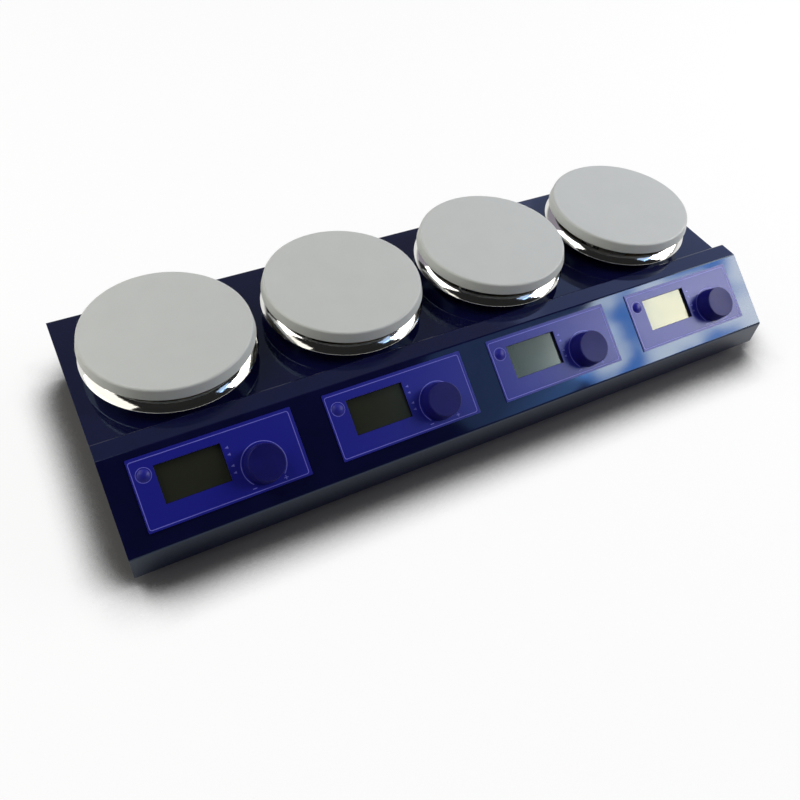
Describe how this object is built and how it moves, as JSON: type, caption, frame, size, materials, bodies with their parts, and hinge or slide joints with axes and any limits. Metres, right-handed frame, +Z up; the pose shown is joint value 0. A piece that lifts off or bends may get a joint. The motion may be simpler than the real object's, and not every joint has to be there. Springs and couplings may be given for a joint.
{
  "type": "hotplate stirrer",
  "caption": "Long bench hotplate stirrer: round ceramic plates over polished dishes on a low case, with a display, knob and button for each on a sloped front.",
  "frame": {"origin": "on the bench, under the middle of the whole object's box", "axes": "+X to the right along the row of plates, +Y to the rear, +Z up"},
  "size_m": [0.604, 0.225, 0.097],
  "materials": {
    "navy_paint": "gloss navy paint on sheet steel",
    "zinc_steel": "zinc-plated sheet steel",
    "black_rubber": "matt black rubber",
    "screw_steel": "nickel-plated steel",
    "white_ceramic": "smooth white ceramic coating on aluminium",
    "polished_dish": "mirror-polished stainless steel",
    "blue_film": "printed blue polyester film",
    "display": "reflective display behind a clear window",
    "blue_knob": "satin dark blue plastic",
    "blue_button": "glossy blue domed button",
    "shaft_steel": "turned steel",
    "carrier_aluminium": "machined aluminium",
    "magnet_nickel": "nickel-plated magnet",
    "heater_mica": "mica ring heater",
    "gasket_fibre": "pressed fibre",
    "motor_enamel": "black enamel",
    "circuit_board": "green solder mask",
    "black_plastic": "moulded black plastic",
    "rocker_plastic": "glossy black plastic",
    "contact_brass": "nickel-plated brass"
  },
  "bodies": {
    "case": {"upper_case": "navy_paint", "base_plate": "zinc_steel", "rubber_feet": "black_rubber", "foot_screws": "screw_steel", "case_screws": "screw_steel", "heating_elements": "heater_mica", "temperature_probes": "shaft_steel", "plate_posts": "shaft_steel", "post_nuts": "screw_steel", "deck_gaskets": "gasket_fibre", "motors": "motor_enamel", "motor_brackets": "zinc_steel", "control_boards": "circuit_board", "potentiometers": "black_plastic", "pot_nuts": "screw_steel", "mains_inlet": "black_plastic", "inlet_pins": "contact_brass", "switch_housing": "black_plastic", "power_supply": "circuit_board", "hotplate_1": "white_ceramic", "hotplate_2": "white_ceramic", "hotplate_3": "white_ceramic", "hotplate_4": "white_ceramic", "reflector_1": "polished_dish", "reflector_2": "polished_dish", "reflector_3": "polished_dish", "reflector_4": "polished_dish", "overlay_1": "blue_film", "overlay_2": "blue_film", "overlay_3": "blue_film", "overlay_4": "blue_film", "lcd_1": "display", "lcd_2": "display", "lcd_3": "display", "lcd_4": "display"},
    "knob_1": {"knob_1": "blue_knob", "pot_shaft_1": "shaft_steel"},
    "button_1": {"button_1": "blue_button"},
    "rotor_1": {"motor_shaft_1": "shaft_steel", "magnet_carrier_1": "carrier_aluminium", "magnets_1": "magnet_nickel"},
    "knob_2": {"knob_2": "blue_knob", "pot_shaft_2": "shaft_steel"},
    "button_2": {"button_2": "blue_button"},
    "rotor_2": {"motor_shaft_2": "shaft_steel", "magnet_carrier_2": "carrier_aluminium", "magnets_2": "magnet_nickel"},
    "knob_3": {"knob_3": "blue_knob", "pot_shaft_3": "shaft_steel"},
    "button_3": {"button_3": "blue_button"},
    "rotor_3": {"motor_shaft_3": "shaft_steel", "magnet_carrier_3": "carrier_aluminium", "magnets_3": "magnet_nickel"},
    "knob_4": {"knob_4": "blue_knob", "pot_shaft_4": "shaft_steel"},
    "button_4": {"button_4": "blue_button"},
    "rotor_4": {"motor_shaft_4": "shaft_steel", "magnet_carrier_4": "carrier_aluminium", "magnets_4": "magnet_nickel"},
    "rocker": {"switch_rocker": "rocker_plastic"}
  },
  "joints": [
    {"name": "knob_1_turn", "type": "hinge", "parent": "case", "child": "knob_1", "pos_m": [-0.19335, -0.08619, 0.05349], "axis": [0, -0.5644, 0.8255], "range_deg": [-135, 135]},
    {"name": "knob_2_turn", "type": "hinge", "parent": "case", "child": "knob_2", "pos_m": [-0.04485, -0.08619, 0.05349], "axis": [0, -0.5644, 0.8255], "range_deg": [-135, 135]},
    {"name": "knob_3_turn", "type": "hinge", "parent": "case", "child": "knob_3", "pos_m": [0.10365, -0.08619, 0.05349], "axis": [0, -0.5644, 0.8255], "range_deg": [-135, 135]},
    {"name": "knob_4_turn", "type": "hinge", "parent": "case", "child": "knob_4", "pos_m": [0.25215, -0.08619, 0.05349], "axis": [0, -0.5644, 0.8255], "range_deg": [-135, 135]},
    {"name": "button_1_press", "type": "slide", "parent": "case", "child": "button_1", "axis": [0, 0.5644, -0.8255], "range_m": [0, 0.0006], "stiffness_N_per_m": 2000},
    {"name": "button_2_press", "type": "slide", "parent": "case", "child": "button_2", "axis": [0, 0.5644, -0.8255], "range_m": [0, 0.0006], "stiffness_N_per_m": 2000},
    {"name": "button_3_press", "type": "slide", "parent": "case", "child": "button_3", "axis": [0, 0.5644, -0.8255], "range_m": [0, 0.0006], "stiffness_N_per_m": 2000},
    {"name": "button_4_press", "type": "slide", "parent": "case", "child": "button_4", "axis": [0, 0.5644, -0.8255], "range_m": [0, 0.0006], "stiffness_N_per_m": 2000},
    {"name": "rotor_1_spin", "type": "hinge", "parent": "case", "child": "rotor_1", "pos_m": [-0.22275, 0.034, 0.0655], "axis": [0, 0, 1], "continuous": true},
    {"name": "rotor_2_spin", "type": "hinge", "parent": "case", "child": "rotor_2", "pos_m": [-0.07425, 0.034, 0.0655], "axis": [0, 0, 1], "continuous": true},
    {"name": "rotor_3_spin", "type": "hinge", "parent": "case", "child": "rotor_3", "pos_m": [0.07425, 0.034, 0.0655], "axis": [0, 0, 1], "continuous": true},
    {"name": "rotor_4_spin", "type": "hinge", "parent": "case", "child": "rotor_4", "pos_m": [0.22275, 0.034, 0.0655], "axis": [0, 0, 1], "continuous": true},
    {"name": "rocker_tip", "type": "hinge", "parent": "case", "child": "rocker", "pos_m": [0.2, 0.1065, 0.04], "axis": [-1, 0, 0], "range_deg": [0, 16]}
  ]
}
